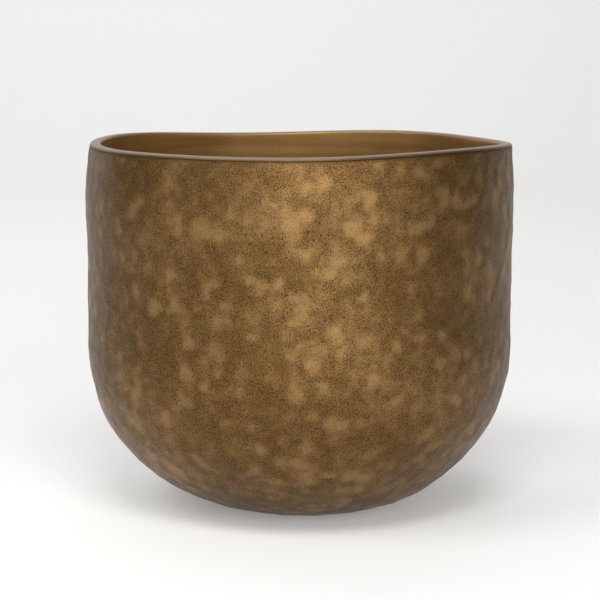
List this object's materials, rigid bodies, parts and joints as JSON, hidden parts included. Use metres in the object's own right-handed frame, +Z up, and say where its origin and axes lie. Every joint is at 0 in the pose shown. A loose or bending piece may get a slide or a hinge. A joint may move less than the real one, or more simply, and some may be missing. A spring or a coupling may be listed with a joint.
{
  "type": "planter pot",
  "caption": "Round double-skinned brass planter pot with a hammered outside, a smooth inside, a soft thick lip and a bowl-shaped base on cork pads.",
  "frame": {"origin": "on the floor under the centre of the pot", "axes": "+Z up along the pot's axis, +X to the right and +Y away from a person in front of it"},
  "size_m": [0.3, 0.3, 0.256],
  "materials": {
    "hammered_brass": "hammered, antiqued",
    "smooth_brass": "spun, antiqued",
    "wire": "drawn",
    "cork": "cork sheet"
  },
  "bodies": {
    "root": {"outer_shell": "hammered_brass", "inner_shell": "smooth_brass", "rim_wire": "wire", "floor_spacer": "cork", "floor_pad_1": "cork", "floor_pad_2": "cork", "floor_pad_3": "cork", "floor_pad_4": "cork"}
  },
  "joints": []
}
